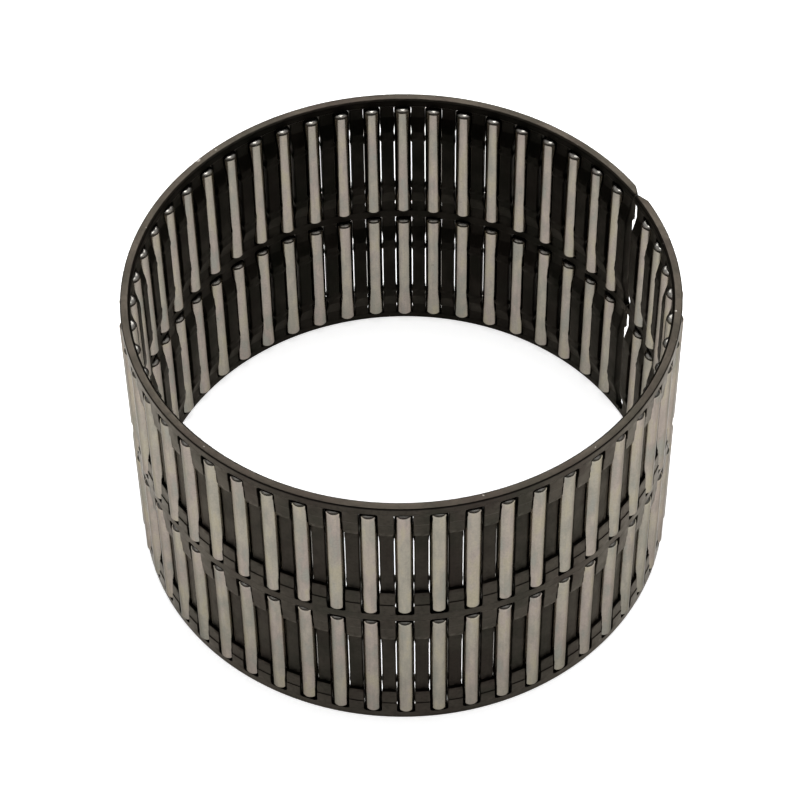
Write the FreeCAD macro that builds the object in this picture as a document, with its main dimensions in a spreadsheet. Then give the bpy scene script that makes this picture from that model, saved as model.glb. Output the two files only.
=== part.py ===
import FreeCAD, Part
import math
import os

import Sketcher
from FreeCAD import Placement, Rotation, Vector

# Double-row needle roller and cage assembly, split cage, for a 75 mm shaft
# raceway and an 80 mm housing raceway. There are no rings: the needles run
# straight on the shaft and in the housing.
#
# Frame: the origin is on the bearing axis in the plane of the lower end face,
# +Z runs along the bearing axis. Millimetres.

doc = FreeCAD.newDocument("needle_roller_and_cage")

# ---------------------------------------------------------------------------
# Driving dimensions
# ---------------------------------------------------------------------------
DIMS = [
    # needles
    ("needle_count", 51, "needles in one row"),
    ("needle_rad", 1.25, "needle radius"),
    ("needle_len", 21.8, "needle length"),
    ("needle_edge", 0.28, "rounding of the needle's end edges"),
    ("pitch_rad", 38.75, "radius of the circle through the needle centres"),
    ("pitch_angle", 6.951, "angle between neighbouring needles, degrees"),
    ("split_gap", 12.45, "angle between the two needles beside the split"),
    ("seat_play", 0.16, "how far a needle can float axially from mid pocket"),
    # cage section
    ("cage_rad", 39.7, "outer radius of rims, rib and shoulders"),
    ("bore_rad", 38.31, "inner radius of rims, rib and shoulders"),
    ("cage_width", 48.7, "overall width"),
    ("rim_width", 1.4, "axial width of each end rim"),
    ("rib_width", 1.4, "axial width of the rib between the rows"),
    ("pocket_len", 22.25, "axial length of a pocket"),
    ("flat_len", 2.09, "outer-level flat of a bar, from the pocket's end"),
    ("facet_len", 2.62, "axial length of the set-down facet beside it"),
    ("facet_drop", 0.12, "depth of the first ledge, from the flat to the facet"),
    ("facet_end_drop", 0.22, "depth of the facet where it meets the waist's ledge"),
    ("ledge_run", 0.04, "axial length of each ledge, which is nearly square"),
    ("inner_flat", 2.025, "inner flat of a bar, from the pocket's end"),
    ("slope_len", 2.7, "axial length of the inner slope down to the waist"),
    ("recess", 0.68, "how far the waist of a bar is pressed inwards"),
    ("edge_out", 0.18, "chamfer of the outer rim edges"),
    ("edge_in", 0.32, "chamfer of the inner rim edges"),
    # pockets, half openings
    ("shoulder_half", 1.33, "half opening beside the shoulders"),
    ("waist_half", 1.385, "half opening beside the waist of a bar"),
    ("lip_half", 1.22, "half opening at the outer lips"),
    ("lip_rad", 39.38, "radius of the outer lips' tops"),
    ("nub_half", 1.15, "half opening at the inner lips"),
    ("corner_rad", 0.35, "corner radius of a pocket"),
    ("run_rad", 1.31, "radius of the hollow in which a needle runs"),
    ("run_start", 1.0, "where that hollow starts, from the pocket's end"),
    # lips, distances from the pocket's end
    ("lip_a", 2.0, "outer lip, foot"),
    ("lip_b", 2.3, "outer lip, crest start"),
    ("lip_c", 3.2, "outer lip, crest end"),
    ("flare", 4.0, "start of the flare from the shoulder to the waist"),
    ("lip_d", 4.8, "outer lip, end of the long flare"),
    ("nub_a", 5.5, "inner lip, foot"),
    ("nub_b", 5.9, "inner lip, crest start"),
    ("nub_c", 6.4, "inner lip, crest end"),
    ("nub_d", 6.8, "inner lip, foot"),
    # split
    ("split_half", 1.07, "half opening of the empty window at the split"),
    ("split_shoulder", 0.95, "the same beside the shoulders"),
    ("slit_half", 0.125, "half width of the slit"),
    ("notch_half", 1.72, "half width of the bevelled notch at the split"),
    ("notch_depth", 0.65, "depth of that notch"),
    ("split_angle", 27.3, "direction of the split from +X, degrees"),
    # tool bodies of the cuts
    ("cut_from", 36.0, "radius where a pocket's cut starts"),
    ("cut_len", 6.0, "radial length of that cut"),
]

sheet = doc.addObject("Spreadsheet::Sheet", "dims")
VAL = {}
for row, (alias, value, note) in enumerate(DIMS, 1):
    sheet.set("A%d" % row, note)
    sheet.set("B%d" % row, str(value))
    sheet.setAlias("B%d" % row, alias)
    VAL[alias] = value
doc.recompute()


class Dim:
    """A length as a sum of sheet cells: its number and its expression."""

    def __init__(self, const=0.0, **terms):
        self.value = const + sum(f * VAL[a] for a, f in terms.items())
        text = ["%+g * dims.%s" % (f, a) for a, f in terms.items()]
        if const or not text:
            text.append("%+g" % const)
        self.text = " ".join(text)


def origin_feature(body, role):
    for feature in body.Origin.OriginFeatures:
        if feature.Role == role:
            return feature
    raise RuntimeError("no origin feature " + role)


def attach(sketch, body, role, offset=None):
    sketch.AttachmentSupport = [(origin_feature(body, role), "")]
    sketch.MapMode = "FlatFace"
    if offset is not None:
        sketch.AttachmentOffset = offset


def hold(sketch, kind, args, dim):
    """A dimension of the sketch, bound to the sheet."""
    index = sketch.addConstraint(Sketcher.Constraint(kind, *args, dim.value))
    sketch.setExpression("Constraints[%d]" % index, dim.text)
    return index


def closed_outline(sketch, points, arcs=(), mirrored=None):
    """A closed outline through points, each (Dim x, Dim y).

    arcs maps the number of a segment to its radius Dim; its centre lies to the
    left of the walk. mirrored maps a point's number to the number of the point
    that it mirrors across the sketch's vertical axis.
    """
    arcs, mirrored = dict(arcs), dict(mirrored or {})
    count = len(points)
    at = [Vector(x.value, y.value, 0) for x, y in points]
    numbers = []
    for i in range(count):
        a, b = at[i], at[(i + 1) % count]
        if i in arcs:
            r = arcs[i].value
            middle, chord = (a + b) * 0.5, b - a
            left = Vector(-chord.y, chord.x, 0).normalize()
            centre = middle + left * math.sqrt(r * r - (chord.Length / 2) ** 2)
            a0 = math.atan2(a.y - centre.y, a.x - centre.x)
            a1 = math.atan2(b.y - centre.y, b.x - centre.x)
            circle = Part.Circle(centre, Vector(0, 0, 1), r)
            shape = Part.ArcOfCircle(circle, a0, a1)
        else:
            shape = Part.LineSegment(a, b)
        numbers.append(sketch.addGeometry(shape, False))
    for i in range(count):
        j = (i + 1) % count
        sketch.addConstraint(
            Sketcher.Constraint("Coincident", numbers[i], 2, numbers[j], 1)
        )
    for i, (x, y) in enumerate(points):
        if i in mirrored:
            sketch.addConstraint(
                Sketcher.Constraint(
                    "Symmetric", numbers[i], 1, numbers[mirrored[i]], 1, -2
                )
            )
            continue
        if x.value == 0:
            sketch.addConstraint(Sketcher.Constraint("PointOnObject", numbers[i], 1, -2))
        else:
            hold(sketch, "DistanceX", (-1, 1, numbers[i], 1), x)
        if y.value == 0:
            sketch.addConstraint(Sketcher.Constraint("PointOnObject", numbers[i], 1, -1))
        else:
            hold(sketch, "DistanceY", (-1, 1, numbers[i], 1), y)
    for i, r in arcs.items():
        hold(sketch, "Radius", (numbers[i],), r)
    return numbers


# ---------------------------------------------------------------------------
# Cage
# ---------------------------------------------------------------------------
cage = doc.addObject("PartDesign::Body", "cage")
cage.Label = "cage"

# Section of the cage, M-shaped along each row: rims, rib and the shoulders of
# the bars at the outer level, the waists pressed inwards by the recess. On the
# outside a bar steps down in two small ledges with a facet between them.
section = cage.newObject("Sketcher::SketchObject", "cage_section")
attach(section, cage, "XZ_Plane")
out = Dim(cage_rad=1)
out_low = Dim(cage_rad=1, recess=-1)
inn = Dim(bore_rad=1)
inn_low = Dim(bore_rad=1, recess=-1)
row0 = dict(rim_width=1)
row1 = dict(rim_width=1, pocket_len=1, rib_width=1)
row0_end = dict(rim_width=1, pocket_len=1)
row1_end = dict(rim_width=1, pocket_len=2, rib_width=1)


def along(base, **more):
    terms = dict(base)
    for a, f in more.items():
        terms[a] = terms.get(a, 0) + f
    return Dim(**terms)


def outer_end(base, way):
    """The outside of a bar from a pocket's end to its waist: flat, ledge, facet, ledge."""
    return [
        (out, along(base, flat_len=way)),
        (Dim(cage_rad=1, facet_drop=-1), along(base, flat_len=way, ledge_run=way)),
        (Dim(cage_rad=1, facet_end_drop=-1), along(base, flat_len=way, facet_len=way)),
        (out_low, along(base, flat_len=way, facet_len=way, ledge_run=way)),
    ]


closed_outline(
    section,
    [
        (Dim(cage_rad=1, edge_out=-1), Dim()),
        (out, Dim(edge_out=1)),
        *outer_end(row0, 1),
        *reversed(outer_end(row0_end, -1)),
        *outer_end(row1, 1),
        *reversed(outer_end(row1_end, -1)),
        (out, Dim(cage_width=1, edge_out=-1)),
        (Dim(cage_rad=1, edge_out=-1), Dim(cage_width=1)),
        (Dim(bore_rad=1, edge_in=1), Dim(cage_width=1)),
        (inn, Dim(cage_width=1, edge_in=-1)),
        (inn, along(row1_end, inner_flat=-1)),
        (inn_low, along(row1_end, inner_flat=-1, slope_len=-1)),
        (inn_low, along(row1, inner_flat=1, slope_len=1)),
        (inn, along(row1, inner_flat=1)),
        (inn, along(row0_end, inner_flat=-1)),
        (inn_low, along(row0_end, inner_flat=-1, slope_len=-1)),
        (inn_low, along(row0, inner_flat=1, slope_len=1)),
        (inn, along(row0, inner_flat=1)),
        (inn, Dim(edge_in=1)),
        (Dim(bore_rad=1, edge_in=1), Dim()),
    ],
)
blank = cage.newObject("PartDesign::Revolution", "cage_blank")
blank.Profile = section
blank.ReferenceAxis = (section, ["V_Axis"])
blank.Angle = 360
blank.Refine = False
section.Visibility = False
doc.recompute()
blank_volume = blank.Shape.Volume


def window_points(base, end, shoulder, waist, lips):
    """The right-hand points of a window, from its lower end to its upper end."""
    corner = dict(corner_rad=1)
    up = [
        (Dim(**{shoulder: 1, "corner_rad": -1}), along(base)),
        (Dim(**{shoulder: 1}), along(base, **corner)),
    ]
    lower, upper = [], []
    if lips:
        steps = [
            (shoulder, "lip_a"),
            ("lip_half", "lip_b"),
            ("lip_half", "lip_c"),
            (waist, "lip_d"),
            (waist, "nub_a"),
            ("nub_half", "nub_b"),
            ("nub_half", "nub_c"),
            (waist, "nub_d"),
        ]
    else:
        steps = [(shoulder, "flare"), (waist, "lip_d")]
    for half, where in steps:
        lower.append((Dim(**{half: 1}), along(base, **{where: 1})))
        upper.insert(0, (Dim(**{half: 1}), along(end, **{where: -1})))
    down = [
        (Dim(**{shoulder: 1}), along(end, corner_rad=-1)),
        (Dim(**{shoulder: 1, "corner_rad": -1}), along(end)),
    ]
    return up + lower + upper + down


def window(sketch, base, end, shoulder, waist, lips):
    right = window_points(base, end, shoulder, waist, lips)
    n = len(right)
    left = []
    for x, y in reversed(right):
        mirror = Dim()
        mirror.value, mirror.text = -x.value, "-(%s)" % x.text
        left.append((mirror, y))
    mirrored = {n + i: n - 1 - i for i in range(n)}
    radius = Dim(corner_rad=1)
    # corner arcs: first and last segments of the right side, and of the left
    arcs = {0: radius, n - 2: radius, n: radius, 2 * n - 2: radius}
    return closed_outline(sketch, right + left, arcs, mirrored)


half_gap = VAL["split_gap"] / 2
# The split: an empty window in each row, narrower than a pocket, with a slit
# through the rims and the rib and a bevelled notch on the outside.
empty = cage.newObject("Sketcher::SketchObject", "split_window_outline")
attach(
    empty,
    cage,
    "XZ_Plane",
    Placement(Vector(0, 0, 0), Rotation(Vector(0, 1, 0), -half_gap)),
)
empty.setExpression("AttachmentOffset.Rotation.Angle", "-dims.split_gap / 2")
window(empty, row0, row0_end, "split_shoulder", "split_half", False)
window(empty, row1, row1_end, "split_shoulder", "split_half", False)
before = blank.Shape.Volume
split_window = cage.newObject("PartDesign::Pocket", "split_window")
split_window.Profile = empty
split_window.Type = "Length"
split_window.Length = VAL["cut_from"] + VAL["cut_len"]
split_window.setExpression("Length", "dims.cut_from + dims.cut_len")
split_window.Reversed = True
split_window.Refine = False
empty.Visibility = False
doc.recompute()
print("split windows remove", round(before - split_window.Shape.Volume, 2))

slit = cage.newObject("Sketcher::SketchObject", "slit_outline")
attach(
    slit,
    cage,
    "XY_Plane",
    Placement(Vector(0, 0, -1), Rotation(Vector(0, 0, 1), -half_gap)),
)
slit.setExpression("AttachmentOffset.Rotation.Angle", "-dims.split_gap / 2")


def below(dim):
    low = Dim()
    low.value, low.text = -dim.value, "-(%s)" % dim.text
    return low


slit_x = Dim(slit_half=1)
notch_x = Dim(notch_half=1)
deep = below(Dim(bore_rad=1, recess=-2))
notch_low = below(Dim(cage_rad=1, notch_depth=-1))
notch_top = below(Dim(-0.037, cage_rad=1))
outside = below(Dim(0.5, cage_rad=1))
right = [
    (notch_x, outside),
    (notch_x, notch_top),
    (slit_x, notch_low),
    (slit_x, deep),
]
left = []
for x, y in reversed(right):
    mirror = Dim()
    mirror.value, mirror.text = -x.value, "-(%s)" % x.text
    left.append((mirror, y))
closed_outline(
    slit,
    right + left,
    mirrored={len(right) + i: len(right) - 1 - i for i in range(len(right))},
)
before = cage.Shape.Volume
slit_cut = cage.newObject("PartDesign::Pocket", "slit")
slit_cut.Profile = slit
slit_cut.Type = "Length"
slit_cut.Length = VAL["cage_width"] + 2
slit_cut.setExpression("Length", "dims.cage_width + 2")
slit_cut.Reversed = True
slit_cut.Refine = False
slit.Visibility = False
doc.recompute()
print("slit and notch remove", round(before - slit_cut.Shape.Volume, 2))

# One pocket of each row, above each other, facing -Y.
pockets = cage.newObject("Sketcher::SketchObject", "pocket_outline")
attach(
    pockets,
    cage,
    "XZ_Plane",
    Placement(Vector(0, 0, VAL["cut_from"]), Rotation()),
)
pockets.setExpression("AttachmentOffset.Base.z", "dims.cut_from")
window(pockets, row0, row0_end, "shoulder_half", "waist_half", True)
window(pockets, row1, row1_end, "shoulder_half", "waist_half", True)
pocket = cage.newObject("PartDesign::Pocket", "pocket_pair")
pocket.Profile = pockets
pocket.Type = "Length"
pocket.Length = VAL["cut_len"]
pocket.setExpression("Length", "dims.cut_len")
pocket.Reversed = True
pocket.Refine = False
pockets.Visibility = False
doc.recompute()
print("first pocket pair removes", round(slit_cut.Shape.Volume - pocket.Shape.Volume, 2))

# The outer lips lie below the outside: above them a pocket has its full width.
relief_sketch = cage.newObject("Sketcher::SketchObject", "lip_relief_outline")
attach(
    relief_sketch,
    cage,
    "XZ_Plane",
    Placement(Vector(0, 0, VAL["lip_rad"]), Rotation()),
)
relief_sketch.setExpression("AttachmentOffset.Base.z", "dims.lip_rad")
window(relief_sketch, row0, row0_end, "shoulder_half", "waist_half", False)
window(relief_sketch, row1, row1_end, "shoulder_half", "waist_half", False)
before = cage.Shape.Volume
relief = cage.newObject("PartDesign::Pocket", "lip_relief")
relief.Profile = relief_sketch
relief.Type = "Length"
relief.Length = 1
relief.Reversed = True
relief.Refine = False
relief_sketch.Visibility = False
doc.recompute()
print("lip relief removes", round(before - relief.Shape.Volume, 4))


# The hollow in which each needle runs, hollowed out of the lips.
def run_hollow(name, base):
    start = along(base, run_start=1)
    sketch = cage.newObject("Sketcher::SketchObject", name + "_outline")
    attach(sketch, cage, "XY_Plane", Placement(Vector(0, 0, start.value), Rotation()))
    sketch.setExpression("AttachmentOffset.Base.z", start.text)
    centre = Vector(0, -VAL["pitch_rad"], 0)
    circle = sketch.addGeometry(
        Part.Circle(centre, Vector(0, 0, 1), VAL["run_rad"]), False
    )
    sketch.addConstraint(Sketcher.Constraint("PointOnObject", circle, 3, -2))
    hold(sketch, "DistanceY", (circle, 3, -1, 1), Dim(pitch_rad=1))
    hold(sketch, "Radius", (circle,), Dim(run_rad=1))
    cut = cage.newObject("PartDesign::Pocket", name)
    cut.Profile = sketch
    cut.Type = "Length"
    length = Dim(pocket_len=1, run_start=-2)
    cut.Length = length.value
    cut.setExpression("Length", length.text)
    cut.Reversed = True
    cut.Refine = False
    sketch.Visibility = False
    doc.recompute()
    return cut


before = cage.Shape.Volume
hollow_low = run_hollow("run_hollow_low", row0)
hollow_high = run_hollow("run_hollow_high", row1)
print("running hollows remove", round(before - hollow_high.Shape.Volume, 4))

ring = cage.newObject("PartDesign::PolarPattern", "pocket_ring")
ring.Originals = [pocket, relief, hollow_low, hollow_high]
ring.Refine = False
ring.Axis = (origin_feature(cage, "Z_Axis"), [""])
ring.Angle = (VAL["needle_count"] - 1) * VAL["pitch_angle"]
ring.setExpression("Angle", "(dims.needle_count - 1) * dims.pitch_angle")
ring.Occurrences = VAL["needle_count"]
ring.setExpression("Occurrences", "dims.needle_count")
cage.Tip = ring
doc.recompute()
print("pocket ring removes", round(slit_cut.Shape.Volume - ring.Shape.Volume, 1))

cage.Placement = Placement(
    Vector(0, 0, 0),
    Rotation(Vector(0, 0, 1), VAL["split_angle"] + half_gap + 90),
)

# ---------------------------------------------------------------------------
# Needles: two on one line, one in each row, for each place around the cage
# ---------------------------------------------------------------------------
# Where each needle stands in the play of its pocket: -1 on the lower end,
# +1 against the upper end. The cage stands on end, so most have dropped.
LOWER_SEAT = {31: 1, 29: -0.4, 39: 0.5, 6: 0.7, 7: 0.4, 9: 0.6, 12: 0.2, 45: 0.8}
UPPER_SEAT = {34: 1, 35: 1, 39: 0.3, 24: 0.9, 47: 0.5, 5: -0.3, 8: -0.2, 13: 0.1}


def seat(table, k):
    return table.get(k, -1.0 + 0.12 * ((k * 7) % 4))


needles = []
for k in range(VAL["needle_count"]):
    name = "needle_pair_%02d" % (k + 1)
    body = doc.addObject("PartDesign::Body", name)
    body.Label = name
    if hasattr(body, "AllowCompound"):
        body.AllowCompound = True
    low, high = seat(LOWER_SEAT, k), seat(UPPER_SEAT, k)
    sketch = body.newObject("Sketcher::SketchObject", name + "_section")
    attach(sketch, body, "XZ_Plane")
    step = dict(pocket_len=1, rib_width=1, seat_play=round(high - low, 4))
    for base in ({}, step):
        closed_outline(
            sketch,
            [
                (Dim(), Dim(**base)),
                (Dim(needle_rad=1, needle_edge=-1), Dim(**base)),
                (Dim(needle_rad=1), along(base, needle_edge=1)),
                (Dim(needle_rad=1), along(base, needle_len=1, needle_edge=-1)),
                (
                    Dim(needle_rad=1, needle_edge=-1),
                    along(base, needle_len=1),
                ),
                (Dim(), along(base, needle_len=1)),
            ],
            arcs={1: Dim(needle_edge=1), 3: Dim(needle_edge=1)},
        )
    turned = body.newObject("PartDesign::Revolution", name + "_turned")
    turned.Profile = sketch
    turned.ReferenceAxis = (sketch, ["V_Axis"])
    turned.Angle = 360
    sketch.Visibility = False
    body.Tip = turned
    angle = "(dims.split_angle + dims.split_gap / 2 + %d * dims.pitch_angle)" % k
    body.setExpression(
        ".Placement.Base.x", "dims.pitch_rad * cos(%s * 1 deg)" % angle
    )
    body.setExpression(
        ".Placement.Base.y", "dims.pitch_rad * sin(%s * 1 deg)" % angle
    )
    body.setExpression(
        ".Placement.Base.z",
        "dims.rim_width + (dims.pocket_len - dims.needle_len) / 2"
        " %+g * dims.seat_play" % low,
    )
    needles.append(body)
doc.recompute()

# ---------------------------------------------------------------------------
# Checks, then the files
# ---------------------------------------------------------------------------
bad = [o.Name for o in doc.Objects if {"Invalid", "Error"} & set(o.State)]
if bad:
    raise RuntimeError("failed objects: " + ", ".join(bad))

nodes = [(cage, 1)] + [(n, 2) for n in needles]
for body, solids in nodes:
    shape = body.Shape
    if shape.isNull() or not shape.isValid():
        raise RuntimeError("bad shape: " + body.Label)
    if len(shape.Solids) != solids:
        raise RuntimeError("%s has %d solids" % (body.Label, len(shape.Solids)))

os.makedirs("parts", exist_ok=True)
for body, solids in nodes:
    body.Shape.exportStep("parts/%s.step" % body.Label)

box = cage.Shape.BoundBox
print("cage", round(box.XLength, 3), round(box.YLength, 3), round(box.ZLength, 3))
print("cage volume", round(cage.Shape.Volume, 1), "faces", len(cage.Shape.Faces))
print("files", len(nodes))
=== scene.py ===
import bpy
import math
from mathutils import Matrix, Vector


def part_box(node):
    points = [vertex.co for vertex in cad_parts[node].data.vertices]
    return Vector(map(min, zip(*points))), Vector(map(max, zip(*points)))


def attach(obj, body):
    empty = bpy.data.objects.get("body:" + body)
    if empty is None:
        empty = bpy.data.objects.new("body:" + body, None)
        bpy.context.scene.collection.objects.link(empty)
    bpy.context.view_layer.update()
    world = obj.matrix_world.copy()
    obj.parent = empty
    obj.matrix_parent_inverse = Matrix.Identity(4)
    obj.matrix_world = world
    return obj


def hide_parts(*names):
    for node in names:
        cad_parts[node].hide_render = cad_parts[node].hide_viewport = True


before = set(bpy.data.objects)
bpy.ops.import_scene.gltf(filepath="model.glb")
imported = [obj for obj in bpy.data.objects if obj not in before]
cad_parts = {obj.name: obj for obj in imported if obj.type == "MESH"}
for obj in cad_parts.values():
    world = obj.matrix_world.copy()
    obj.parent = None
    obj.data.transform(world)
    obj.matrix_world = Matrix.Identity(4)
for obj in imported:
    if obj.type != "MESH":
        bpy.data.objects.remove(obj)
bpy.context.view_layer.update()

scene = bpy.context.scene

# ---------------------------------------------------------------------------
# Camera
# ---------------------------------------------------------------------------
ELEVATION, ROLL, DISTANCE = 0.866164, -0.0137955, 0.43032
TARGET = Vector((-0.00030, 0.0, 0.02430))
back = Vector((0, -math.cos(ELEVATION), math.sin(ELEVATION)))
right = Vector((1, 0, 0))
up = back.cross(right)
right, up = (
    right * math.cos(ROLL) + up * math.sin(ROLL),
    up * math.cos(ROLL) - right * math.sin(ROLL),
)
camera = bpy.data.objects.new("camera", bpy.data.cameras.new("camera"))
scene.collection.objects.link(camera)
camera.data.lens = 131.218
camera.data.sensor_width = 36
camera.data.clip_start, camera.data.clip_end = 0.01, 20
camera.data.shift_x, camera.data.shift_y = -0.5 / 800, 0.5 / 800
camera.matrix_world = Matrix.Translation(TARGET + back * DISTANCE) @ Matrix(
    ((right.x, up.x, back.x), (right.y, up.y, back.y), (right.z, up.z, back.z))
).to_4x4()
scene.camera = camera

scene.view_settings.view_transform = "Standard"
scene.view_settings.look = "None"
scene.cycles.use_denoising = True


# ---------------------------------------------------------------------------
# Node helpers
# ---------------------------------------------------------------------------
class Tree:
    """A short way to write a material's nodes."""

    def __init__(self, name):
        self.material = bpy.data.materials.new(name)
        self.material.use_nodes = True
        self.tree = self.material.node_tree
        self.tree.nodes.clear()
        self.out = self.node("ShaderNodeOutputMaterial")
        self.shader = self.node("ShaderNodeBsdfPrincipled")
        self.link(self.shader.outputs[0], self.out.inputs[0])

    def node(self, kind, **settings):
        n = self.tree.nodes.new(kind)
        for key, value in settings.items():
            setattr(n, key, value)
        return n

    def link(self, a, b):
        self.tree.links.new(a, b)

    def put(self, socket, value):
        if hasattr(value, "is_output"):
            self.link(value, socket)
        else:
            socket.default_value = value

    def math(self, operation, a, b=0.0, clamp=False):
        n = self.node("ShaderNodeMath", operation=operation, use_clamp=clamp)
        self.put(n.inputs[0], a)
        self.put(n.inputs[1], b)
        return n.outputs[0]

    def ramp(self, value, low, high, to_low=0.0, to_high=1.0):
        n = self.node("ShaderNodeMapRange", interpolation_type="SMOOTHSTEP")
        self.put(n.inputs[0], value)
        for i, x in enumerate((low, high, to_low, to_high), 1):
            n.inputs[i].default_value = x
        return n.outputs[0]

    def mix(self, share, a, b, blend="MIX"):
        n = self.node("ShaderNodeMix", data_type="RGBA", blend_type=blend)
        self.put(n.inputs[0], share)
        self.put(n.inputs[6], a if hasattr(a, "is_output") else (*a, 1))
        self.put(n.inputs[7], b if hasattr(b, "is_output") else (*b, 1))
        return n.outputs[2]

    def noise(self, where, scale, detail=3.0, rough=0.5):
        n = self.node("ShaderNodeTexNoise")
        self.put(n.inputs["Vector"], where)
        n.inputs["Scale"].default_value = scale
        n.inputs["Detail"].default_value = detail
        n.inputs["Roughness"].default_value = rough
        return n

    def vector(self, operation, a, b=(0, 0, 0)):
        n = self.node("ShaderNodeVectorMath", operation=operation)
        self.put(n.inputs[0], a)
        self.put(n.inputs[1], b)
        return n

    def bump(self, height, strength, distance, normal=None):
        n = self.node("ShaderNodeBump")
        n.inputs["Strength"].default_value = strength
        n.inputs["Distance"].default_value = distance
        self.put(n.inputs["Height"], height)
        if normal is not None:
            self.link(normal, n.inputs["Normal"])
        return n.outputs[0]


def cage_steel():
    """Black-oxidised steel: nearly black inside and in the pockets, with the
    oxide polished to a dull warm grey where the outside and the rim faces rub.
    Painted shade darkens the rims' outer edges and the foot of the outer wall,
    and makes up part of the recessed waists' darkness."""
    t = Tree("cage_steel")
    place = t.node("ShaderNodeTexCoord").outputs["Object"]
    split = t.node("ShaderNodeSeparateXYZ")
    t.link(place, split.inputs[0])
    flat = t.vector("MULTIPLY", place, (1, 1, 0)).outputs[0]
    radius = t.vector("LENGTH", flat).outputs["Value"]
    outwards = t.vector("NORMALIZE", flat).outputs[0]
    normal = t.node("ShaderNodeNewGeometry").outputs["Normal"]
    facing = t.vector("DOT_PRODUCT", normal, outwards).outputs["Value"]
    axial = t.node("ShaderNodeSeparateXYZ")
    t.link(normal, axial.inputs[0])
    flat_face = t.ramp(t.math("ABSOLUTE", axial.outputs[2]), 0.45, 0.8)
    edge = t.node("ShaderNodeAttribute", attribute_name="edge").outputs["Fac"]

    # Worn outside: the high surface at the full radius is worn grey. The recessed waists and their concave corners stay
    # darker, partly as less wear and partly as painted shade.
    high = t.ramp(radius, 0.0390, 0.0396, 0.50, 1.0)
    outside = t.math("MULTIPLY", t.ramp(facing, 0.6, 0.9), high)
    ends = t.math(
        "MAXIMUM",
        t.ramp(split.outputs[2], 0.0482, 0.0486),
        t.ramp(split.outputs[2], 0.0005, 0.0001),
    )
    rim = t.math("MULTIPLY", flat_face, ends)
    shown = t.math("MAXIMUM", outside, rim)

    blot = t.noise(place, 170, 4, 0.6)
    fine = t.noise(place, 1900, 3, 0.6)
    stretched = t.vector("MULTIPLY", place, (1, 1, 0.12)).outputs[0]
    drawn = t.noise(stretched, 2600, 2, 0.5)
    hue = t.noise(place, 95, 2, 0.5)
    speck = t.noise(place, 900, 1, 0.4)

    worn = t.mix(t.ramp(hue.outputs["Fac"], 0.38, 0.62), (0.0190, 0.0180, 0.0140), (0.0225, 0.0177, 0.0150))
    worn = t.mix(t.ramp(blot.outputs["Fac"], 0.42, 0.62), worn, (0.0285, 0.0246, 0.0200))
    worn = t.mix(t.math("MULTIPLY", t.ramp(fine.outputs["Fac"], 0.48, 0.66), 0.55), worn, (0.0115, 0.0102, 0.0084))
    dark = t.mix(t.ramp(hue.outputs["Fac"], 0.4, 0.6), (0.0032, 0.0034, 0.0024), (0.0042, 0.0032, 0.0026))
    dark = t.mix(t.ramp(blot.outputs["Fac"], 0.45, 0.7), dark, (0.0076, 0.0064, 0.0050))
    colour = t.mix(shown, dark, worn)
    colour = t.mix(rim, colour, t.mix(0.5, t.mix(1.0, worn, (1.78, 1.72, 1.61), "MULTIPLY"), (0.038, 0.0333, 0.0282)))
    rubbed = t.math("MULTIPLY", t.math("MAXIMUM", edge, 0.0), t.ramp(blot.outputs["Fac"], 0.40, 0.62))
    rubbed = t.math("MULTIPLY", rubbed, t.ramp(radius, 0.0388, 0.0396, 0.15, 0.6))
    colour = t.mix(rubbed, colour, (0.060, 0.053, 0.045))
    bare = t.math("MULTIPLY", t.ramp(speck.outputs["Fac"], 0.765, 0.79), rim)
    colour = t.mix(bare, colour, (0.20, 0.185, 0.165))
    # Painted shade: where the 'edge' value is negative, the colour goes nearly black. This darkens both rims' outer
    # rounded edges and, less strongly, the outer wall's foot above the bottom rim.
    shaded = t.ramp(t.math("MULTIPLY", edge, -1.0), 0.05, 0.95, 0.0, 0.80)
    colour = t.mix(shaded, colour, (0.0030, 0.0026, 0.0024))
    t.link(colour, t.shader.inputs["Base Color"])
    t.shader.inputs["Metallic"].default_value = 1.0
    t.shader.inputs["Specular Tint"].default_value = (0.86, 0.82, 0.76, 1)
    rough = t.math("ADD", t.ramp(blot.outputs["Fac"], 0.3, 0.7, 0.36, 0.26), t.math("MULTIPLY", fine.outputs["Fac"], 0.12))
    rough = t.math("ADD", rough, t.ramp(shown, 0.2, 0.7, 0.20, 0.0))
    t.link(rough, t.shader.inputs["Roughness"])
    height = t.math("ADD", t.math("MULTIPLY", drawn.outputs["Fac"], 0.6), t.math("MULTIPLY", fine.outputs["Fac"], 0.8))
    t.link(t.bump(height, 0.5, 0.000015), t.shader.inputs["Normal"])
    return t.material


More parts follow.
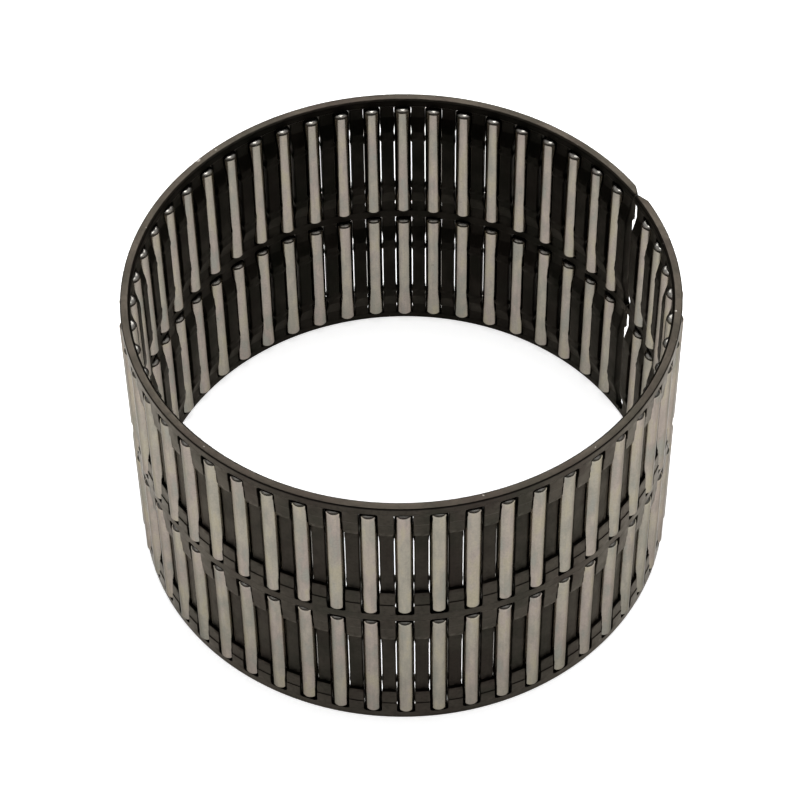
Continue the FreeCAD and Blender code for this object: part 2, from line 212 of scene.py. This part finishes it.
def needle_steel():
    """Ground roller steel, faintly stained and streaked."""
    t = Tree("needle_steel")
    place = t.node("ShaderNodeTexCoord").outputs["Object"]
    long = t.vector("MULTIPLY", place, (1, 1, 0.38)).outputs[0]
    stain = t.noise(long, 400, 5, 0.62)
    tint = t.noise(long, 210, 2, 0.5)
    grain = t.noise(place, 3300, 2, 0.6)
    across = t.noise(t.vector("MULTIPLY", place, (1, 1, 0.05)).outputs[0], 2600, 3, 0.6)
    ground = t.noise(t.vector("MULTIPLY", place, (0.2, 0.2, 1)).outputs[0], 5200, 2, 0.5)
    spot = t.noise(place, 900, 4, 0.7)

    base = t.mix(t.ramp(tint.outputs["Fac"], 0.36, 0.64), (0.247, 0.229, 0.190), (0.260, 0.224, 0.197))
    base = t.mix(t.math("MULTIPLY", t.ramp(stain.outputs["Fac"], 0.5, 0.66), 0.8), base, (0.246, 0.221, 0.163))
    base = t.mix(t.math("MULTIPLY", t.ramp(stain.outputs["Fac"], 0.48, 0.32), 0.8), base, (0.244, 0.242, 0.212))
    base = t.mix(t.math("MULTIPLY", t.ramp(across.outputs["Fac"], 0.48, 0.7), 0.26), base, (0.170, 0.150, 0.124))
    base = t.mix(t.math("MULTIPLY", t.ramp(spot.outputs["Fac"], 0.67, 0.76), 0.6), base, (0.075, 0.062, 0.050))
    cloud = t.ramp(grain.outputs["Fac"], 0.30, 0.70, 0.94, 1.06)
    cloud = t.math("MULTIPLY", cloud, t.ramp(stain.outputs["Fac"], 0.36, 0.64, 0.87, 1.11))
    shade = t.node("ShaderNodeCombineXYZ")
    for i in range(3):
        t.link(cloud, shade.inputs[i])
    base = t.mix(1.0, base, shade.outputs[0], "MULTIPLY")
    normal = t.node("ShaderNodeSeparateXYZ")
    t.link(t.node("ShaderNodeNewGeometry").outputs["Normal"], normal.inputs[0])
    # Flat end faces: rougher and darker in colour. The darker colour is partly a duller end finish and partly painted
    # shade.
    faced = t.ramp(t.math("ABSOLUTE", normal.outputs[2]), 0.80, 0.89)
    base = t.mix(faced, base, t.mix(t.ramp(spot.outputs["Fac"], 0.45, 0.75), (0.180, 0.172, 0.158), (0.136, 0.128, 0.115)))
    t.link(base, t.shader.inputs["Base Color"])
    t.shader.inputs["Metallic"].default_value = 1.0
    t.shader.inputs["Specular Tint"].default_value = (0.46, 0.45, 0.43, 1)
    rough = t.math("ADD", t.ramp(stain.outputs["Fac"], 0.35, 0.65, 0.11, 0.17), t.math("MULTIPLY", across.outputs["Fac"], 0.06))
    rough = t.math("ADD", rough, t.math("MULTIPLY", faced, 0.06))
    t.link(rough, t.shader.inputs["Roughness"])
    height = t.math("ADD", t.math("MULTIPLY", across.outputs["Fac"], 0.7), t.math("MULTIPLY", ground.outputs["Fac"], 0.5))
    t.link(t.bump(height, 0.22, 0.000006), t.shader.inputs["Normal"])
    return t.material


CAGE, NEEDLE = cage_steel(), needle_steel()
for name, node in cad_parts.items():
    node.data.materials.clear()
    node.data.materials.append(CAGE if name == "cage" else NEEDLE)


def finish_mesh(name, points, faces, material, body, node, edge=None):
    """Makes a closed piece of a body that stands for a CAD node."""
    mesh = bpy.data.meshes.new(name)
    mesh.from_pydata(points, [], faces)
    mesh.validate()
    if edge is not None:
        attribute = mesh.attributes.new("edge", "FLOAT", "POINT")
        attribute.data.foreach_set("value", edge)
    mesh.shade_smooth()
    mesh.materials.append(material)
    piece = bpy.data.objects.new(name, mesh)
    scene.collection.objects.link(piece)
    soft = piece.modifiers.new("weighted_normals", "WEIGHTED_NORMAL")
    soft.mode = "FACE_AREA"
    soft.weight = 50
    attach(piece, body)
    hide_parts(node)
    return piece


# ---------------------------------------------------------------------------
# Needles: two rollers on one line for each place around the cage, turned about
# the line, with flat-centred, crowned ends and rounded edges.
# ---------------------------------------------------------------------------
NEEDLE_RAD, NEEDLE_LEN, NEEDLE_EDGE, AROUND = 0.00125, 0.0218, 0.00042, 64


def needle_outline():
    r, e = NEEDLE_RAD, NEEDLE_EDGE
    line = [(0.00030, 0.0), (0.00052, 0.0), (0.00060, 0.000006), (0.00068, 0.000021), (0.00076, 0.000044)]
    line += [(0.00084, 0.000074), (0.00092, 0.000111), (0.00100, 0.000154)]
    start = math.radians(32)
    centre = 0.00102 - e * math.sin(start)
    for k in range(7):
        a = start + (math.pi / 2 - start) * k / 6
        x = centre + e * math.sin(a)
        line.append((0.00102 + (x - 0.00102) * (r - 0.00102) / (centre + e - 0.00102), 0.000166 + e * (math.cos(start) - math.cos(a))))
    line[-1] = (r, line[-1][1])
    line.append((r, line[-1][1] + 0.0001))
    half = line + [(r, 0.004), (r, 0.008)]
    return half + [(r, NEEDLE_LEN - z) if x == r else (x, NEEDLE_LEN - z) for x, z in reversed(half)]


def make_needles(k):
    name = "needle_pair_%02d" % k
    low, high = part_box(name)
    cx, cy = (low.x + high.x) / 2, (low.y + high.y) / 2
    outline = needle_outline()
    points, faces = [], []
    for bottom in (low.z, high.z - NEEDLE_LEN):
        first = len(points)
        for r, z in outline:
            for j in range(AROUND):
                a = 2 * math.pi * j / AROUND
                points.append((cx + r * math.cos(a), cy + r * math.sin(a), bottom + z))
        for i in range(len(outline) - 1):
            for j in range(AROUND):
                m = (j + 1) % AROUND
                p, q = first + i * AROUND, first + (i + 1) * AROUND
                faces.append((p + j, p + m, q + m, q + j))
        for z, ring, turn in ((0.0, 0, -1), (NEEDLE_LEN, len(outline) - 1, 1)):
            points.append((cx, cy, bottom + z))
            centre, p = len(points) - 1, first + ring * AROUND
            for j in range(AROUND):
                m = (j + 1) % AROUND
                faces.append((centre, p + j, p + m) if turn > 0 else (centre, p + m, p + j))
    return finish_mesh("needle_rollers_%02d" % k, points, faces, NEEDLE, "needles_%02d" % k, name)


for k in range(1, 52):
    make_needles(k)

# ---------------------------------------------------------------------------
# Cage: one closed mesh, built in millimetres. The wall is described by its
# radius outside and inside along a bar, and by how far a window's two sides
# stand from its middle line. Every edge is rounded.
# ---------------------------------------------------------------------------
PITCH, GAP, SPLIT = 6.951, 12.45, 27.3
WIDTH, RIM, RIB, POCKET = 48.7, 1.4, 1.4, 22.25
OUT, BORE = 39.7, 38.31
CORNER, RUN, CENTRES = 0.35, 1.31, 38.75

# Each window's angle, and whether it is a pocket or the empty one at the split.
WINDOWS = [(SPLIT + GAP / 2 + PITCH * k, True) for k in range(51)] + [(SPLIT + 360.0, False)]
ROWS = (RIM, RIM + POCKET + RIB)

# Radii and half widths against the distance from a window's end.
OUTER = [(0, OUT), (2.05, OUT), (2.09, 39.672), (2.12, 39.58), (4.66, 39.482), (4.71, 39.445), (4.735, 39.07), (4.78, 39.02), (12, 39.02)]
INNER = [(0, BORE), (1.85, BORE), (2.3, 38.25), (4.66, 37.650), (5.2, 37.63), (12, 37.63)]
PLAIN = [(0, 1.33), (4.0, 1.33), (4.8, 1.365), (12, 1.365)]
LIPS = [(0, 1.33), (2.0, 1.33), (2.3, 1.22), (3.2, 1.22), (4.8, 1.365), (5.5, 1.365), (5.9, 1.15), (6.4, 1.15), (6.8, 1.365), (12, 1.365)]
EMPTY = [(0, 0.86), (1.0, 0.86), (2.05, 0.94), (4.0, 0.94), (5.4, 0.83), (12, 0.83)]
EDGE = [(0, 0.08), (3.6, 0.08), (4.66, 0.10), (4.78, 0.25), (12, 0.25)]
EDGE_IN = 0.09
STEPS = [0.35, 1.0, 2.05, 2.09, 2.12, 2.3, 3.2, 4.0, 4.66, 4.71, 4.735, 4.78, 5.5, 5.9, 6.4, 6.8]

# The rim's outline from outside to inside: radius, height above the end face,
# and the share of the way from the outer to the inner columns' angles.
RIM_LINE = [(OUT, 0.40, 0.0), (OUT, 0.24, 0.0), (39.655, 0.055, 0.0), (39.52, 0.0, 0.1), (38.67, 0.0, 0.9), (38.6, 0.03, 1.0), (38.345, 0.285, 1.0), (BORE, 0.36, 1.0)]


def table(points, x):
    for (x0, y0), (x1, y1) in zip(points, points[1:]):
        if x <= x1:
            return y0 + (y1 - y0) * max(0.0, (x - x0)) / (x1 - x0)
    return points[-1][1]


def from_split(angle):
    d = abs(angle - SPLIT) % 360
    return math.radians(min(d, 360 - d))


def notch(radius, angle):
    """The radius of the outside, where the bevelled notch at the split cuts it."""
    d = from_split(angle)
    if d > 0.06:
        return radius
    b = 0.613 / 1.595
    return min(radius, (39.05 - 0.125 * b) / (math.cos(d) - b * math.sin(d)))


def side(window, sign, t, radius):
    """The angle of a window's side at distance t from its end and a radius."""
    angle, pocket = window
    if not pocket:
        x = table(EMPTY, t)
    else:
        x = table(PLAIN if radius > 39.38 else LIPS, t)
        if t > 1.0:
            for _ in range(2):
                d = math.sqrt(radius * radius - x * x) - CENTRES
                if abs(d) < RUN:
                    x = max(x, math.sqrt(RUN * RUN - d * d))
    if t < CORNER:
        x -= CORNER - math.sqrt(max(0.0, CORNER**2 - (CORNER - t) ** 2))
    return angle + sign * math.degrees(math.asin(x / radius))


def side_line(window, sign, t):
    """A bar's section down one side at distance t from the pocket's end: seven
    points (radius, angle, t), three round the outer edge and two round the inner."""
    if t == 0.0:
        n = (0.0, -1.0)
    elif t < CORNER:
        turn = math.acos(1 - t / CORNER)
        n = (math.sin(turn), -math.cos(turn))
    else:
        n = (1.0, 0.0)
    e = table(EDGE, t)

    def moved(share, drop, inside=False):
        tt = t + share * n[1]
        base = table(INNER if inside else OUTER, max(0.0, tt))
        a = side(window, sign, t, base)
        if not inside:
            base = notch(base, a)
        r = base + drop
        a = side(window, sign, t, r) + sign * math.degrees(share * n[0] / r)
        return (r, a, tt)

    top = [moved(e, 0.0), moved(0.293 * e, -0.293 * e), moved(0.0, -e)]
    low = [moved(0.0, EDGE_IN, True), moved(EDGE_IN, 0.0, True)]
    between = []
    for share in (1 / 3, 2 / 3):
        r = top[-1][0] + (low[0][0] - top[-1][0]) * share
        if window[1] and 2.0 < t < 4.7:
            r = 39.36 if share < 0.5 else 38.75
        if window[1] and 5.5 < t < 6.8:
            r = 38.6 if share < 0.5 else 38.1
        between.append((r, side(window, sign, t, r), t))
    return top + between + low


def bar_middle(a, b, inside):
    """The point half way across a bar, or at the notch's edge beside the split."""
    share = 0.5
    if min(from_split(a[1]), from_split(b[1])) < math.radians(2.2):
        edge = math.asin(1.72 / OUT)
        if from_split(a[1]) < from_split(b[1]):
            share = math.degrees(edge - from_split(a[1])) / abs(b[1] - a[1])
        else:
            share = 1 - math.degrees(edge - from_split(b[1])) / abs(b[1] - a[1])
    t = a[2] + (b[2] - a[2]) * share
    angle = a[1] + (b[1] - a[1]) * share
    r = table(INNER if inside else OUTER, max(0.0, t))
    return (r if inside else notch(r, angle), angle, t)


class Shell:
    """A mesh whose points are shared where they meet."""

    def __init__(self):
        self.at, self.points, self.faces, self.edge = {}, [], [], []

    def vertex(self, p, edge=0.0):
        r, a, z = p
        x, y = r * math.cos(math.radians(a)), r * math.sin(math.radians(a))
        key = (round(x * 2000), round(y * 2000), round(z * 2000))
        if key not in self.at:
            self.at[key] = len(self.points)
            self.points.append((x * 0.001, y * 0.001, z * 0.001))
            self.edge.append(edge)
        i = self.at[key]
        if edge:
            self.edge[i] = edge
        return i

    def face(self, *points):
        ids = []
        for p in points:
            i = self.vertex(p)
            if i not in ids:
                ids.append(i)
        if len(ids) > 2:
            self.faces.append(ids)


def slit_line(line, sign):
    """The column on the slit's wall, from the column on the empty window's end."""
    cut = []
    for r, _, z in line:
        cut.append([r, SPLIT + 360.0 + sign * math.degrees(math.asin(0.125 / r)), z])
    top = notch(OUT, cut[0][1])
    for q, drop in ((0, 0.0), (1, -0.026), (2, -0.09)):
        cut[q][0] = top + drop
    for q, share in ((3, 1 / 3), (4, 2 / 3)):
        cut[q][0] = cut[2][0] + (cut[5][0] - cut[2][0]) * share
    return [tuple(p) for p in cut]


def make_cage():
    shell = Shell()
    corner = [CORNER * (1 - math.cos(math.radians(x))) for x in (30, 60)]
    half = [0.0] + corner + STEPS
    stations = [(t, False) for t in half] + [(POCKET / 2, False)] + [(t, True) for t in reversed(half)]
    n = len(WINDOWS)

    def place(p, high, base):
        r, a, t = p
        return (r, a, base + (POCKET - t if high else t))

    # The bars, as rings of points from one window's end to the other.
    ends = {}
    for row, base in enumerate(ROWS):
        for i in range(n):
            left, right = WINDOWS[i], WINDOWS[(i + 1) % n]
            if i == n - 1:
                left = (left[0] - 360.0, left[1])
            before = None
            for t, high in stations:
                a, b = side_line(left, 1, t), side_line(right, -1, t)
                ring = [*reversed(a), bar_middle(a[0], b[0], False), *b, bar_middle(a[-1], b[-1], True)]
                ring = [place(p, high, base) for p in ring]
                for j in (5, 9):
                    shell.vertex(ring[j], 1.0)
                if before is not None:
                    for j in range(len(ring)):
                        k = (j + 1) % len(ring)
                        shell.face(before[j], before[k], ring[k], ring[j])
                if t == 0.0:
                    ends.setdefault((row, high), []).append(ring)
                before = ring

    # The windows' end walls: at each end of each row, columns all the way round.
    columns = {}
    for where, rings in ends.items():
        found = []
        for i, ring in enumerate(rings):
            a, top, b, low = ring[:7][::-1], ring[7], ring[8:15], ring[15]
            angle, pocket = WINDOWS[(i + 1) % n]
            found += [("wall", a), ("bar", [top, low]), ("wall", b)]
            if pocket:
                found.append(("wall", [(p[0], angle, p[2]) for p in b]))
            else:
                found += [("slit", slit_line(b, -1)), ("slit", slit_line(b, 1))]
        columns[where] = found
        for c, (kind, p) in enumerate(found):
            other, q = found[(c + 1) % len(found)]
            if "bar" in (kind, other) or kind == other == "slit":
                continue
            for j in range(len(p) - 1):
                shell.face(p[j], p[j + 1], q[j + 1], q[j])
            shell.vertex(p[1], 1.0)
            shell.vertex(q[1], 1.0)

    def band(loops, kinds):
        """Faces between loops of columns, all the way round except over the slit."""
        count = len(kinds)
        for c in range(count):
            d = (c + 1) % count
            if kinds[c] == kinds[d] == "slit":
                continue
            for u, v in zip(loops, loops[1:]):
                shell.face(u[c], v[c], v[d], u[d])

    # The two rims, and the rib between the rows.
    for where, z_end, sign in (((0, False), 0.0, 1), ((1, True), WIDTH, -1)):
        found = columns[where]
        kinds = [kind for kind, _ in found]
        loops = [[line[0] for _, line in found]]
        for step, (r, h, share) in enumerate(RIM_LINE):
            loop = []
            for kind, line in found:
                a = line[0][1] + (line[-1][1] - line[0][1]) * share
                if kind == "slit":
                    way = 1 if line[0][1] > SPLIT + 360.0 else -1
                    a = SPLIT + 360.0 + way * math.degrees(math.asin(0.125 / r))
                rr = notch(r, a)
                if r > 39.3 and rr < r:
                    rr -= OUT - r
                loop.append((rr, a, z_end + sign * h))
                # Negative edge values paint shade: -1 on both rims' outer rounded edges, -0.45 on the outer wall 0.4 mm
                # above the bottom face.
                shell.vertex(loop[-1], (-0.45 if sign > 0 else 0.0, -1.0, -1.0)[step] if step < 3 else 0.0)
            loops.append(loop)
        loops.append([line[-1] for _, line in found])
        band(loops, kinds)
        for c, kind in enumerate(kinds):
            if kind == "slit":
                shell.face(*[loop[c] for loop in loops], *reversed(found[c][1][1:-1]))
    low, high = columns[(0, True)], columns[(1, False)]
    kinds = [kind for kind, _ in low]
    band([[line[0] for _, line in low], [line[0] for _, line in high]], kinds)
    band([[line[-1] for _, line in low], [line[-1] for _, line in high]], kinds)
    for c, kind in enumerate(kinds):
        if kind == "slit":
            shell.face(*low[c][1], *reversed(high[c][1]))
    return shell


shell = make_cage()
cage = finish_mesh("cage_shell", shell.points, shell.faces, CAGE, "cage", "cage", edge=shell.edge)

# ---------------------------------------------------------------------------
# Floor and light
# ---------------------------------------------------------------------------
# The floor is pale and partly lit from below, as a light table is.
floor_mesh = bpy.data.meshes.new("floor")
s = 6.0
floor_mesh.from_pydata([(-s, -s, -0.00002), (s, -s, -0.00002), (s, s, -0.00002), (-s, s, -0.00002)], [], [(0, 1, 2, 3)])
floor = bpy.data.objects.new("floor", floor_mesh)
scene.collection.objects.link(floor)
paint = Tree("floor_paint")
paint.shader.inputs["Base Color"].default_value = (0.88, 0.88, 0.88, 1)
paint.shader.inputs["Roughness"].default_value = 0.9
paint.shader.inputs["Specular IOR Level"].default_value = 0.0
paint.shader.inputs["Emission Color"].default_value = (1, 1, 1, 1)
paint.shader.inputs["Emission Strength"].default_value = 0.74
floor_mesh.materials.append(paint.material)

world = bpy.data.worlds.new("studio")
scene.world = world
world.use_nodes = True
world.node_tree.nodes["Background"].inputs[0].default_value = (1, 1, 1, 1)
world.node_tree.nodes["Background"].inputs[1].default_value = 0.14


def softbox(name, place, aim, size, radiance):
    """An area light of a given brightness, as its surface is seen."""
    data = bpy.data.lights.new(name, "AREA")
    data.shape = "RECTANGLE"
    data.size, data.size_y = size
    data.energy = radiance * math.pi * size[0] * size[1]
    lamp = bpy.data.objects.new(name, data)
    scene.collection.objects.link(lamp)
    lamp.location = place
    lamp.rotation_euler = (Vector(aim) - Vector(place)).to_track_quat("-Z", "Y").to_euler()
    return lamp


CENTRE = (0, 0, 0.02)
softbox("overhead", (0, 0.30, 1.30), CENTRE, (2.4, 1.9), 0.80)
softbox("key", (0.05, 0.14, 1.28), CENTRE, (0.45, 0.45), 9.0)
softbox("back", (0, 1.09, 1.03), CENTRE, (1.1, 0.5), 5.0)
softbox("left", (-1.35, 0.1, 0.75), CENTRE, (0.9, 0.8), 0.15)
softbox("right", (1.35, 0.1, 0.75), CENTRE, (0.9, 0.8), 0.15)
